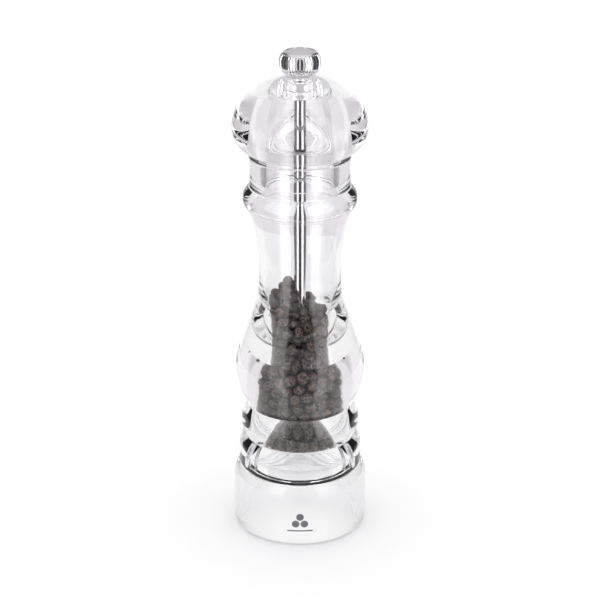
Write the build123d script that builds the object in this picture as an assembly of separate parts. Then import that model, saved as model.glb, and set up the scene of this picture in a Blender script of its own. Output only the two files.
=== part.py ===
from build123d import *
import math
import os

# Pepper mill, millimetres, +Z up.  The origin is the centre of the face it stands on.
# A clear body holds the peppercorns and, in its base, the grinding mechanism.  A clear head
# turns a steel shaft that carries the inner burr, and a knob on the shaft's threaded tip
# draws the shaft up or lets it down, which sets how fine the mill grinds.

# ---------------------------------------------------------------- body, outside
BASE_RADIUS = 30.0
BASE_HEIGHT = 23.0            # straight wall, from the foot to the start of the shoulder
FOOT_ROUND = 2.5              # rounded edge that the base stands on
SHOULDER_HEIGHT = 5.6
STEP_RADIUS = 27.5
STEP_HEIGHT = 7.7             # straight band above the shoulder
STEP_FALL = 7.3               # rounded fall from the band to the lower groove
STEP_FALL_BOW = 1.0
LOWER_GROOVE_RADIUS = 24.7
BEAD_HEIGHT = 15.0            # from the lower groove to the upper groove
BEAD_BOW = 2.3
UPPER_GROOVE_RADIUS = 23.4
SWELL_RISE = 18.9             # from the upper groove to the widest point of the swell
SWELL_RADIUS = 28.7
SWELL_ARC = 20.0              # radius of the arc that turns the swell inwards
TAPER_ANGLE = 20.3            # degrees off vertical, between the swell and the waist
THROAT_ARC = 44.0             # radius of the arc that turns the taper into the waist
WAIST_RADIUS = 18.1
WAIST_HEIGHT = 4.0            # straight part of the waist
FLARE_HEIGHT = 28.2
FLARE_RADIUS = 22.2
COLLAR_HEIGHT = 10.4
COLLAR_BOW = 2.8
NECK_RADIUS = 22.2
NECK_HEIGHT = 13.6
NECK_HOLLOW = 0.35            # depth of the neck's slight inward curve
EDGE_BREAK = 0.3              # bevel on the two rims that meet between body and head

# ---------------------------------------------------------------- body, inside
MOUTH_BORE = 17.3             # radii from here to the end of this group
MOUTH_DEPTH = 28.5            # straight bore under the rim
WAIST_BORE = 15.3
THROAT_BORE = 14.7
THROAT_LENGTH = 38.0          # slightly tapered bore from the waist down to the chamber
CHAMBER_SHOULDER = 9.0        # rounded height over which the throat widens to the chamber
CHAMBER_BORE = 18.4
FUNNEL_HEIGHT = 16.0          # tapered lower part of the chamber
FUNNEL_FOOT = 16.2
INLET_BORE = 13.4
INLET_LIP = 1.7               # thickness of the lip that the ring housing comes up against
BASE_HOLLOW_HEIGHT = 26.0     # open hollow under the mechanism
BASE_HOLLOW_MARGIN = 1.0      # round the mechanism's flange, at the top of the hollow
FOOT_WIDTH = 3.0              # flat ring that the mill stands on

# ---------------------------------------------------------------- head
HEAD_SKIRT = 2.0              # short straight wall above the joint with the body
ONION_RISE = 11.2             # from the skirt to the widest point of the head
ONION_RADIUS = 29.4
ONION_ARC = 18.0              # radius of the arc above the widest point
ONION_ARC_RISE = 13.8         # height that this arc covers before the flatter crown
CROWN_RISE = 8.0
KNOB_SEAT_RADIUS = 6.7
SPIGOT_LENGTH = 11.5          # tube of the head that reaches down inside the neck
SPIGOT_CLEARANCE = 0.3        # all round, in the mouth bore
SPIGOT_WALL = 2.4
HEAD_BORE_ABOVE_JOINT = 12.5  # straight bore above the joint, before the domed roof
ROOF_RISE = 12.6
ROOF_MARGIN = 1.8             # flat of the roof, round the drive plate

# ---------------------------------------------------------------- mechanism in the base
FLANGE_PAST_SCREW = 2.4       # from the bridge screws' axes to the flange's rim
FLANGE_THICKNESS = 1.5
HOUSING_RADIUS = 14.4
HOUSING_HEIGHT = 14.4         # above the ceiling of the base's hollow
HOUSING_LIP = 1.0
HOUSING_LIP_BORE = 10.8
RING_RADIUS = 12.0
RING_HEIGHT = 9.4
RING_KEY_WIDTH = 3.0
RING_KEY_DEPTH = 0.8
RING_INLET = 10.2             # radii of the ring's inner wall: top, throat and bottom
RING_THROAT = 8.3
RING_OUTLET = 9.5
RING_THROAT_HEIGHT = 4.5      # height of the throat above the ring's bottom
BRIDGE_PAST_SCREW = 1.9       # from the screws' axes to the bar's ends
BRIDGE_WIDTH = 7.0
BRIDGE_THICKNESS = 1.6
BRIDGE_SCREW_WALL = 0.8       # between the ring housing and the screws
BUSH_RADIUS = 3.4
BUSH_FLANGE_RADIUS = 5.0
BUSH_FLANGE = 0.8
THRUST_WASHER_RADIUS = 5.0
THRUST_WASHER = 0.7

# ---------------------------------------------------------------- inner burr and spring
BURR_TOP = 4.4                # radii of the burr's cone: top, throat and bottom
BURR_THROAT = 7.6
BURR_BOTTOM = 9.0
BURR_CRUSH_HEIGHT = 6.8       # coarse upper cone
BURR_GRIND_HEIGHT = 4.8       # fine lower cone
BURR_SEAT_HEIGHT = 4.0        # bottom of the burr above the thrust washer
SPRING_RADIUS = 3.5
SPRING_WIRE = 0.7             # wire diameter
SPRING_TURNS = 3.5
SPRING_RECESS_RADIUS = 4.6
SPRING_RECESS = 1.6
BURR_PIN_RADIUS = 0.75
BURR_PIN_LENGTH = 9.6
COARSE_GROOVES = 6
COARSE_GROOVE_SIZE = 1.9
FINE_GROOVES = 24
FINE_GROOVE_SIZE = 0.7
GROOVE_TWIST = 28.0           # degrees that a groove turns round the cone

# ---------------------------------------------------------------- shaft and drive
SHAFT_RADIUS = 2.7
SHAFT_FLAT = 0.6              # depth of each flat of the squares that drive and are driven
PILOT_RADIUS = 1.6            # turned lower end, which runs in the bridge's bush
PILOT_BELOW_BRIDGE = 1.9
THREAD_RADIUS = 2.0
THREAD_PITCH = 0.7
THREAD_DEPTH = 0.3
THREAD_FLANK = 0.5            # half the groove's width at one depth outside the crest
THREAD_ABOVE_HEAD = 7.6
SQUARE_BELOW_PLATE = 2.0      # the square starts this far under the drive plate
SQUARE_BELOW_CROWN = 2.6      # and ends this far under the head's top
DRIVE_PLATE_RADIUS = 9.0
DRIVE_PLATE = 1.2
DRIVE_BUSH_RADIUS = 4.9
DRIVE_BUSH_LENGTH = 5.0
DRIVE_SCREW_OFFSET = 7.0

# ---------------------------------------------------------------- screws
SCREW_RADIUS = 1.4
SCREW_HEAD_RADIUS = 2.5
SCREW_HEAD = 1.5
SCREW_HEAD_RIM = 0.5          # straight edge of the head, next to its seat
SCREW_GRIP = 7.0              # length held in the plastic
SCREW_SLOT_WIDTH = 0.7
SCREW_SLOT_DEPTH = 0.7

# ---------------------------------------------------------------- knob
KNOB_WASHER = 0.5
KNOB_WASHER_RADIUS = 5.6
KNOB_HEIGHT = 10.5
KNOB_FOOT_RADIUS = 6.2
KNOB_RADIUS = 9.0
KNOB_WIDEST = 6.4             # height of the widest point above the knob's foot
KNOB_TOP_RADIUS = 6.9
KNOB_FLUTES = 32
KNOB_FLUTE_RADIUS = 0.75
KNOB_FLUTE_DEPTH = 0.3
INSERT_RADIUS = 3.6
INSERT_FOOT = 0.6             # the insert starts this far above the knob's foot
INSERT_LENGTH = 7.9
INSERT_CAP = 0.6
DISC_RADIUS = 5.6
DISC_THICKNESS = 0.7
DISC_RECESS_GAP = 0.3
DISC_RECESS_DEPTH = 0.8

# ---------------------------------------------------------------- peppercorns
FILL_GAP = 0.5                # all round, from the walls and the shaft
FILL_HEIGHT = 61.0
FILL_HEAP = 11.5              # the heap stands this much higher at the shaft

# ---------------------------------------------------------------- printed mark
MARK_THICKNESS = 0.06
MARK_HEIGHT = 11.0            # centre of the mark above the foot
BERRY_RADIUS = 1.7
BERRY_SPACING = 3.9
RULE_LENGTH = 11.5
RULE_WIDTH = 0.6

# ---------------------------------------------------------------- clearances
RUNNING = 0.05                # radial, round a shaft or a pin
SEATED = 0.02                 # between pieces that are fixed to each other
RESTING = 0.05                # under a piece that rests on another and turns on it

# ---------------------------------------------------------------- widths worked out from the sizes
SPIGOT_RADIUS = MOUTH_BORE - SPIGOT_CLEARANCE
HEAD_BORE = SPIGOT_RADIUS - SPIGOT_WALL
ROOF_FLAT_RADIUS = DRIVE_PLATE_RADIUS + ROOF_MARGIN
BRIDGE_SCREW_OFFSET = HOUSING_RADIUS + BRIDGE_SCREW_WALL + SCREW_RADIUS
FLANGE_RADIUS = BRIDGE_SCREW_OFFSET + FLANGE_PAST_SCREW
BRIDGE_LENGTH = 2 * (BRIDGE_SCREW_OFFSET + BRIDGE_PAST_SCREW)
BASE_HOLLOW_TOP = FLANGE_RADIUS + BASE_HOLLOW_MARGIN
BASE_HOLLOW_MOUTH = BASE_RADIUS - FOOT_ROUND - FOOT_WIDTH
SHAFT_SQUARE = 2 * (SHAFT_RADIUS - SHAFT_FLAT)         # across the flats

# ---------------------------------------------------------------- levels worked out from the sizes
TAPER = math.radians(TAPER_ANGLE)
z_shoulder_top = BASE_HEIGHT + SHOULDER_HEIGHT
z_step_top = z_shoulder_top + STEP_HEIGHT
z_lower_groove = z_step_top + STEP_FALL
z_upper_groove = z_lower_groove + BEAD_HEIGHT
z_swell = z_upper_groove + SWELL_RISE
taper_top_radius = SWELL_RADIUS - SWELL_ARC * (1 - math.cos(TAPER))
taper_foot_radius = WAIST_RADIUS + THROAT_ARC * (1 - math.cos(TAPER))
z_taper_low = z_swell + SWELL_ARC * math.sin(TAPER)
z_taper_high = z_taper_low + (taper_top_radius - taper_foot_radius) / math.tan(TAPER)
z_waist = z_taper_high + THROAT_ARC * math.sin(TAPER)
z_throat = z_waist - THROAT_LENGTH
z_chamber = z_throat - CHAMBER_SHOULDER
z_waist_top = z_waist + WAIST_HEIGHT
z_collar = z_waist_top + FLARE_HEIGHT
z_neck = z_collar + COLLAR_HEIGHT
z_body_top = z_neck + NECK_HEIGHT

z_head_bottom = z_body_top + RESTING
z_skirt_top = z_head_bottom + HEAD_SKIRT
z_onion = z_skirt_top + ONION_RISE
z_crown = z_onion + ONION_ARC_RISE
z_head_top = z_crown + CROWN_RISE
z_head_bore_top = z_head_bottom + HEAD_BORE_ABOVE_JOINT
z_roof = z_head_bore_top + ROOF_RISE

z_knob_washer = z_head_top + RESTING
z_knob = z_knob_washer + KNOB_WASHER + RESTING
z_top = z_knob + KNOB_HEIGHT

z_housing_top = BASE_HOLLOW_HEIGHT + HOUSING_HEIGHT
z_inlet = z_housing_top + SEATED
z_inlet_top = z_inlet + INLET_LIP
z_funnel_top = z_inlet_top + FUNNEL_HEIGHT
z_ring_top = z_housing_top - HOUSING_LIP
z_ring = z_ring_top - RING_HEIGHT
z_flange = BASE_HOLLOW_HEIGHT - FLANGE_THICKNESS
z_bridge = z_flange - BRIDGE_THICKNESS
z_washer = z_flange + BUSH_FLANGE + RESTING
z_washer_top = z_washer + THRUST_WASHER
z_burr = z_washer_top + BURR_SEAT_HEIGHT
z_burr_throat = z_burr + BURR_GRIND_HEIGHT
z_burr_top = z_burr_throat + BURR_CRUSH_HEIGHT

z_plate = z_roof - DRIVE_PLATE
z_square = z_plate - SQUARE_BELOW_PLATE
z_thread = z_head_top - SQUARE_BELOW_CROWN
z_tip = z_head_top + THREAD_ABOVE_HEAD
z_pilot = z_bridge - PILOT_BELOW_BRIDGE


# ---------------------------------------------------------------- drawing helpers
STANDING = (Align.CENTER, Align.CENTER, Align.MIN)     # centred on the axis, standing on its place


def upright_arc(upright, far):
    """Arc in (radius, height) that runs straight up or down at its first point."""
    run = far[1] - upright[1]
    drop = far[0] - upright[0]
    radius = (run**2 + drop**2) / (2 * drop)
    half_turn = math.asin(abs(run) / abs(radius)) / 2
    middle_radius = upright[0] + radius * (1 - math.cos(half_turn))
    middle_height = upright[1] + math.copysign(abs(radius) * math.sin(half_turn), run)
    return ThreePointArc(upright, (middle_radius, middle_height), far)


def bowed(start, end, bow):
    """Arc whose middle stands a given distance outside the chord, away from the axis."""
    along = Vector(end[0] - start[0], end[1] - start[1]).normalized()
    middle = ((start[0] + end[0]) / 2 + along.Y * bow, (start[1] + end[1]) / 2 - along.X * bow)
    return ThreePointArc(start, middle, end)


def turned(edges):
    """Solid turned about Z from a closed outline of (radius, height) edges."""
    return revolve(Plane.XZ * make_face(edges), Axis.Z)


def turned_points(*points):
    """Solid turned about Z from a closed polygon of (radius, height) points."""
    return turned(Polyline(*points, close=True))


def disc(radius, bottom, top):
    """Cylinder about Z between two heights."""
    return Pos(0, 0, bottom) * Cylinder(radius, top - bottom, align=STANDING)


def ring(outer, inner, bottom, top):
    """Plain ring about Z between two heights."""
    return disc(outer, bottom, top) - disc(inner, bottom, top)


def square_bar(width, bottom, top):
    """Square bar about Z between two heights."""
    return Pos(0, 0, bottom) * Box(width, width, top - bottom, align=STANDING)


def slanting_groove(low, high, size, twist):
    """V-shaped cutter from (radius, height) low to high, turning by twist degrees on the way."""
    start = Vector(low[0], 0, low[1])
    end = Vector(high[0], 0, high[1]).rotate(Axis.Z, twist)
    length = (end - start).length + 2 * size
    across = Plane(origin=(start + end) / 2, x_dir=(0, 0, 1), z_dir=end - start)
    return across * (Rot(0, 0, 45) * Box(size, size, length))


def screw_hole(offset, bottom, top):
    """Cutter for a screw's hole, offset along X from the axis."""
    return Pos(offset, 0, 0) * disc(SCREW_RADIUS + SEATED, bottom, top)


def cut_round(solid, cutter, number):
    """The solid with the cutter taken away at equal steps round Z."""
    for count in range(number):
        solid -= Rot(0, 0, count * 360 / number) * cutter
    return solid


# ---------------------------------------------------------------- body
def make_body_shell():
    """Clear moulded body: turned outside, bored chamber, seat for the ring housing."""
    collar_foot = (FLARE_RADIUS, z_collar)
    neck_foot = (NECK_RADIUS, z_neck)
    rim = (NECK_RADIUS - EDGE_BREAK, z_body_top)
    outside = [
        Line((BASE_HOLLOW_MOUTH, 0), (BASE_RADIUS - FOOT_ROUND, 0)),
        upright_arc((BASE_RADIUS, FOOT_ROUND), (BASE_RADIUS - FOOT_ROUND, 0)),
        Line((BASE_RADIUS, FOOT_ROUND), (BASE_RADIUS, BASE_HEIGHT)),
        upright_arc((BASE_RADIUS, BASE_HEIGHT), (STEP_RADIUS, z_shoulder_top)),
        Line((STEP_RADIUS, z_shoulder_top), (STEP_RADIUS, z_step_top)),
        bowed((STEP_RADIUS, z_step_top), (LOWER_GROOVE_RADIUS, z_lower_groove), STEP_FALL_BOW),
        bowed((LOWER_GROOVE_RADIUS, z_lower_groove), (UPPER_GROOVE_RADIUS, z_upper_groove), BEAD_BOW),
        upright_arc((SWELL_RADIUS, z_swell), (UPPER_GROOVE_RADIUS, z_upper_groove)),
        upright_arc((SWELL_RADIUS, z_swell), (taper_top_radius, z_taper_low)),
        Line((taper_top_radius, z_taper_low), (taper_foot_radius, z_taper_high)),
        upright_arc((WAIST_RADIUS, z_waist), (taper_foot_radius, z_taper_high)),
        Line((WAIST_RADIUS, z_waist), (WAIST_RADIUS, z_waist_top)),
        upright_arc((WAIST_RADIUS, z_waist_top), collar_foot),
        bowed(collar_foot, neck_foot, COLLAR_BOW),
        bowed(neck_foot, (NECK_RADIUS, z_body_top - EDGE_BREAK), -NECK_HOLLOW),
        Line((NECK_RADIUS, z_body_top - EDGE_BREAK), rim),
        Line(rim, (MOUTH_BORE + EDGE_BREAK, z_body_top)),
        Line((MOUTH_BORE + EDGE_BREAK, z_body_top), (MOUTH_BORE, z_body_top - EDGE_BREAK)),
    ]
    seat = HOUSING_RADIUS + SEATED
    inside = [
        Line((MOUTH_BORE, z_body_top - EDGE_BREAK), (MOUTH_BORE, z_body_top - MOUTH_DEPTH)),
        upright_arc((WAIST_BORE, z_waist_top), (MOUTH_BORE, z_body_top - MOUTH_DEPTH)),
        Line((WAIST_BORE, z_waist_top), (WAIST_BORE, z_waist)),
        Line((WAIST_BORE, z_waist), (THROAT_BORE, z_throat)),
        upright_arc((CHAMBER_BORE, z_chamber), (THROAT_BORE, z_throat)),
        Line((CHAMBER_BORE, z_chamber), (CHAMBER_BORE, z_funnel_top)),
        Line((CHAMBER_BORE, z_funnel_top), (FUNNEL_FOOT, z_inlet_top)),
        Line((FUNNEL_FOOT, z_inlet_top), (INLET_BORE, z_inlet_top)),
        Line((INLET_BORE, z_inlet_top), (INLET_BORE, z_inlet)),
        Line((INLET_BORE, z_inlet), (seat, z_inlet)),
        Line((seat, z_inlet), (seat, BASE_HOLLOW_HEIGHT)),
        Line((seat, BASE_HOLLOW_HEIGHT), (BASE_HOLLOW_TOP, BASE_HOLLOW_HEIGHT)),
        Line((BASE_HOLLOW_TOP, BASE_HOLLOW_HEIGHT), (BASE_HOLLOW_MOUTH, 0)),
    ]
    shell = turned(outside + inside)
    hole_top = BASE_HOLLOW_HEIGHT + SCREW_GRIP + SEATED
    for side in (-1, 1):
        shell -= screw_hole(side * BRIDGE_SCREW_OFFSET, BASE_HOLLOW_HEIGHT, hole_top)
    return shell


def make_front_mark():
    """Three berries over a short rule, printed on the front of the base as a thin film."""
    drawing = Pos(0, -BERRY_RADIUS * 2) * Rectangle(RULE_LENGTH, RULE_WIDTH)
    for column, row in ((-0.5, 0), (0.5, 0), (0, math.sqrt(3) / 2)):
        drawing += Pos(column * BERRY_SPACING, row * BERRY_SPACING) * Circle(BERRY_RADIUS)
    front = Plane(origin=(0, -BASE_RADIUS, MARK_HEIGHT), x_dir=(1, 0, 0), z_dir=(0, -1, 0))
    depth = BASE_RADIUS / 2
    film = ring(BASE_RADIUS + MARK_THICKNESS, BASE_RADIUS, 0, BASE_HEIGHT)
    return extrude(front * drawing, depth, both=True) & film


def make_ring_housing():
    """Flanged steel cup that holds the outer burr against the body's lip."""
    bore = RING_RADIUS + SEATED
    cup = turned_points(
        (bore, z_flange), (FLANGE_RADIUS, z_flange), (FLANGE_RADIUS, BASE_HOLLOW_HEIGHT),
        (HOUSING_RADIUS, BASE_HOLLOW_HEIGHT), (HOUSING_RADIUS, z_housing_top),
        (HOUSING_LIP_BORE, z_housing_top), (HOUSING_LIP_BORE, z_ring_top + SEATED),
        (bore, z_ring_top + SEATED),
    )
    for side in (-1, 1):
        cup -= screw_hole(side * BRIDGE_SCREW_OFFSET, z_flange, BASE_HOLLOW_HEIGHT)
    slot_length = 2 * (RING_RADIUS + RING_KEY_DEPTH + SEATED)
    slot_height = z_ring_top + SEATED - z_flange
    slot = Box(slot_length, RING_KEY_WIDTH + 2 * SEATED, slot_height, align=STANDING)
    return cup - Pos(0, 0, z_flange) * Rot(0, 0, 90) * slot


def make_grind_ring():
    """Outer burr: toothed ring, keyed against turning, narrowest at its throat."""
    throat = z_ring + RING_THROAT_HEIGHT
    burr = turned_points(
        (RING_OUTLET, z_ring), (RING_RADIUS, z_ring), (RING_RADIUS, z_ring_top),
        (RING_INLET, z_ring_top), (RING_THROAT, throat),
    )
    key = Box(2 * (RING_RADIUS + RING_KEY_DEPTH), RING_KEY_WIDTH, RING_HEIGHT, align=STANDING)
    keys = Pos(0, 0, z_ring) * Rot(0, 0, 90) * key - disc(RING_RADIUS - RING_KEY_DEPTH, z_ring, z_ring_top)
    burr += keys
    outlet_edge = (RING_OUTLET, z_ring)
    throat_edge = (RING_THROAT, throat)
    inlet_edge = (RING_INLET, z_ring_top)
    fine = slanting_groove(outlet_edge, throat_edge, FINE_GROOVE_SIZE, -GROOVE_TWIST / 2)
    coarse = slanting_groove(throat_edge, inlet_edge, COARSE_GROOVE_SIZE, GROOVE_TWIST)
    return cut_round(cut_round(burr, fine, FINE_GROOVES), coarse, COARSE_GROOVES)


def make_bridge_bar():
    """Flat bar under the mechanism, with a bush hole and two screw holes."""
    bar = Pos(0, 0, z_bridge) * Box(BRIDGE_LENGTH, BRIDGE_WIDTH, BRIDGE_THICKNESS, align=STANDING)
    bar = fillet(bar.edges().filter_by(Axis.Z), BRIDGE_WIDTH / 3)
    bar -= disc(BUSH_RADIUS, z_bridge, z_flange)
    for side in (-1, 1):
        bar -= screw_hole(side * BRIDGE_SCREW_OFFSET, z_bridge, z_flange)
    return bar


def make_bridge_bush():
    """Flanged bush in the bridge, in which the shaft's pilot turns."""
    bore = PILOT_RADIUS + RUNNING
    return turned_points(
        (bore, z_bridge), (BUSH_RADIUS, z_bridge), (BUSH_RADIUS, z_flange),
        (BUSH_FLANGE_RADIUS, z_flange), (BUSH_FLANGE_RADIUS, z_flange + BUSH_FLANGE),
        (bore, z_flange + BUSH_FLANGE),
    )


def make_screw_pair(offset, seat, through):
    """Two slotted round-head screws along X, pointing up from the face at height seat."""
    crown = seat - SCREW_HEAD
    rim = seat - SCREW_HEAD_RIM
    crown_radius = SCREW_HEAD_RADIUS / 2
    point = seat + through + SCREW_GRIP
    screw = turned([
        Line((0, crown), (crown_radius, crown)),
        upright_arc((SCREW_HEAD_RADIUS, rim), (crown_radius, crown)),
        Line((SCREW_HEAD_RADIUS, rim), (SCREW_HEAD_RADIUS, seat)),
        Line((SCREW_HEAD_RADIUS, seat), (SCREW_RADIUS, seat)),
        Line((SCREW_RADIUS, seat), (SCREW_RADIUS, point - SCREW_RADIUS)),
        Line((SCREW_RADIUS, point - SCREW_RADIUS), (0, point)),
        Line((0, point), (0, crown)),
    ])
    screw -= Pos(0, 0, crown) * Box(2 * SCREW_HEAD_RADIUS, SCREW_SLOT_WIDTH, 2 * SCREW_SLOT_DEPTH)
    return Compound(children=[Pos(side * offset, 0, 0) * screw for side in (-1, 1)])


def make_peppercorn_fill():
    """Plain closed solid of the heap of peppercorns, clear of the walls, shaft and burr."""
    hole = SHAFT_RADIUS + FILL_GAP
    bottom = max(z_inlet_top, z_burr_top) + 2 * FILL_GAP
    wide = CHAMBER_BORE - FILL_GAP
    narrow = THROAT_BORE - FILL_GAP
    rim = z_inlet_top + FILL_HEIGHT
    return turned_points(
        (hole, bottom), (FUNNEL_FOOT - FILL_GAP, bottom), (wide, z_funnel_top), (wide, z_chamber),
        (narrow, z_throat), (narrow, rim), (hole, rim + FILL_HEAP),
    )


# ---------------------------------------------------------------- shaft, inner burr, spring
def make_thrust_washer():
    """Washer on the bush, which turns with the shaft and carries the spring."""
    return ring(THRUST_WASHER_RADIUS, PILOT_RADIUS + RUNNING, z_washer, z_washer_top)


def make_spring():
    """Coil spring between the thrust washer and the recess under the inner burr."""
    wire = SPRING_WIRE / 2
    bottom = z_washer_top + wire + SEATED
    height = z_burr + SPRING_RECESS - wire - SEATED - bottom
    coil = Helix(pitch=height / SPRING_TURNS, height=height, radius=SPRING_RADIUS)
    section = Plane(origin=coil @ 0, z_dir=coil % 0) * Circle(wire)
    return Pos(0, 0, bottom) * sweep(section, path=coil, is_frenet=True)


def burr_pin_rod():
    """Cross pin through the inner burr and the shaft."""
    return Pos(0, 0, z_burr_throat) * Rot(0, 90, 0) * Cylinder(BURR_PIN_RADIUS, BURR_PIN_LENGTH)


def make_male_burr():
    """Inner burr: coarse teeth on the upper cone, fine teeth on the lower one."""
    bottom_edge = (BURR_BOTTOM, z_burr)
    throat_edge = (BURR_THROAT, z_burr_throat)
    top_edge = (BURR_TOP, z_burr_top)
    burr = turned_points((0, z_burr), bottom_edge, throat_edge, top_edge, (0, z_burr_top))
    fine = slanting_groove(bottom_edge, throat_edge, FINE_GROOVE_SIZE, GROOVE_TWIST / 2)
    coarse = slanting_groove(throat_edge, top_edge, COARSE_GROOVE_SIZE, -GROOVE_TWIST)
    burr = cut_round(cut_round(burr, fine, FINE_GROOVES), coarse, COARSE_GROOVES)
    burr -= disc(SPRING_RECESS_RADIUS, z_burr, z_burr + SPRING_RECESS)
    burr -= square_bar(SHAFT_SQUARE, z_burr, z_burr_top) & disc(SHAFT_RADIUS, z_burr, z_burr_top)
    return burr - burr_pin_rod()


def make_shaft():
    """Steel shaft: pilot, square for the burr, round shank, driving square, threaded tip."""
    lower_square = z_burr + SPRING_RECESS
    shaft = disc(PILOT_RADIUS, z_pilot, lower_square)
    shaft += disc(SHAFT_RADIUS, lower_square, z_burr_top) & square_bar(SHAFT_SQUARE, lower_square, z_burr_top)
    shaft += disc(SHAFT_RADIUS, z_burr_top, z_square)
    shaft += disc(SHAFT_RADIUS, z_square, z_thread) & square_bar(SHAFT_SQUARE, z_square, z_thread)
    shaft += disc(THREAD_RADIUS, z_thread, z_tip)
    groove = turned_points(
        (THREAD_RADIUS - THREAD_DEPTH, 0), (THREAD_RADIUS + THREAD_DEPTH, -THREAD_FLANK),
        (THREAD_RADIUS + THREAD_DEPTH, THREAD_FLANK),
    )
    for count in range(1, int((z_tip - z_thread) / THREAD_PITCH)):
        shaft -= Pos(0, 0, z_thread + count * THREAD_PITCH) * groove
    return shaft - burr_pin_rod()


# ---------------------------------------------------------------- head
def make_head_shell():
    """Clear hollow head: spigot, onion-shaped outside, domed roof, hole for the shaft."""
    spigot_foot = z_head_bottom - SPIGOT_LENGTH
    crown_radius = ONION_RADIUS - ONION_ARC + math.sqrt(ONION_ARC**2 - ONION_ARC_RISE**2)
    belly = upright_arc((ONION_RADIUS, z_onion), (crown_radius, z_crown))
    crown = TangentArc((crown_radius, z_crown), (KNOB_SEAT_RADIUS, z_head_top), tangent=belly % 1)
    hole = SHAFT_RADIUS + RUNNING
    bush = DRIVE_BUSH_RADIUS + SEATED
    bush_top = z_roof + DRIVE_BUSH_LENGTH + SEATED
    shell = turned([
        Line((HEAD_BORE, spigot_foot), (SPIGOT_RADIUS - EDGE_BREAK, spigot_foot)),
        Line((SPIGOT_RADIUS - EDGE_BREAK, spigot_foot), (SPIGOT_RADIUS, spigot_foot + EDGE_BREAK)),
        Line((SPIGOT_RADIUS, spigot_foot + EDGE_BREAK), (SPIGOT_RADIUS, z_head_bottom)),
        Line((SPIGOT_RADIUS, z_head_bottom), (NECK_RADIUS - EDGE_BREAK, z_head_bottom)),
        Line((NECK_RADIUS - EDGE_BREAK, z_head_bottom), (NECK_RADIUS, z_head_bottom + EDGE_BREAK)),
        Line((NECK_RADIUS, z_head_bottom + EDGE_BREAK), (NECK_RADIUS, z_skirt_top)),
        upright_arc((ONION_RADIUS, z_onion), (NECK_RADIUS, z_skirt_top)),
        belly,
        crown,
        Line((KNOB_SEAT_RADIUS, z_head_top), (hole, z_head_top)),
        Line((hole, z_head_top), (hole, bush_top)),
        Line((hole, bush_top), (bush, bush_top)),
        Line((bush, bush_top), (bush, z_roof)),
        Line((bush, z_roof), (ROOF_FLAT_RADIUS, z_roof)),
        upright_arc((HEAD_BORE, z_head_bore_top), (ROOF_FLAT_RADIUS, z_roof)),
        Line((HEAD_BORE, z_head_bore_top), (HEAD_BORE, spigot_foot)),
    ])
    for side in (-1, 1):
        shell -= screw_hole(side * DRIVE_SCREW_OFFSET, z_roof, z_roof + SCREW_GRIP + SEATED)
    return shell


def make_drive_bush():
    """Sleeve in the head's roof that steadies the shaft."""
    return ring(DRIVE_BUSH_RADIUS, SHAFT_RADIUS + RUNNING, z_roof + SEATED, z_roof + DRIVE_BUSH_LENGTH)


def make_drive_plate():
    """Steel plate under the roof, whose square hole turns the shaft."""
    plate = disc(DRIVE_PLATE_RADIUS, z_plate, z_roof)
    plate -= square_bar(SHAFT_SQUARE + 2 * RUNNING, z_plate, z_roof)
    for side in (-1, 1):
        plate -= screw_hole(side * DRIVE_SCREW_OFFSET, z_plate, z_roof)
    return plate


# ---------------------------------------------------------------- knob
def make_knob_washer():
    """Thin washer between the knob and the head."""
    return ring(KNOB_WASHER_RADIUS, THREAD_RADIUS + RUNNING, z_knob_washer, z_knob_washer + KNOB_WASHER)


def make_knob_shell():
    """Fluted metal knob, bored from below for its insert and recessed on top for a disc."""
    widest = (KNOB_RADIUS, z_knob + KNOB_WIDEST)
    recess = DISC_RADIUS + DISC_RECESS_GAP
    insert_top = z_knob + INSERT_FOOT + INSERT_LENGTH
    knob = turned([
        Line((INSERT_RADIUS, z_knob), (KNOB_FOOT_RADIUS, z_knob)),
        upright_arc(widest, (KNOB_FOOT_RADIUS, z_knob)),
        upright_arc(widest, (KNOB_TOP_RADIUS, z_top)),
        Line((KNOB_TOP_RADIUS, z_top), (recess, z_top)),
        Line((recess, z_top), (recess, z_top - DISC_RECESS_DEPTH)),
        Line((recess, z_top - DISC_RECESS_DEPTH), (0, z_top - DISC_RECESS_DEPTH)),
        Line((0, z_top - DISC_RECESS_DEPTH), (0, insert_top)),
        Line((0, insert_top), (INSERT_RADIUS, insert_top)),
        Line((INSERT_RADIUS, insert_top), (INSERT_RADIUS, z_knob)),
    ])
    flute_centre = KNOB_RADIUS - KNOB_FLUTE_DEPTH + KNOB_FLUTE_RADIUS
    flute = Pos(flute_centre, 0, 0) * disc(KNOB_FLUTE_RADIUS, z_knob, z_top)
    return cut_round(knob, flute, KNOB_FLUTES)


def make_knob_insert():
    """Threaded nut fixed in the knob, closed at its top."""
    bottom = z_knob + INSERT_FOOT
    top = bottom + INSERT_LENGTH
    bore = THREAD_RADIUS + RUNNING
    return disc(INSERT_RADIUS, bottom, top) - disc(bore, bottom, top - INSERT_CAP)


def make_knob_disc():
    """Plain disc let into the top of the knob."""
    bottom = z_top - DISC_RECESS_DEPTH
    return disc(DISC_RADIUS, bottom, bottom + DISC_THICKNESS)


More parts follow.
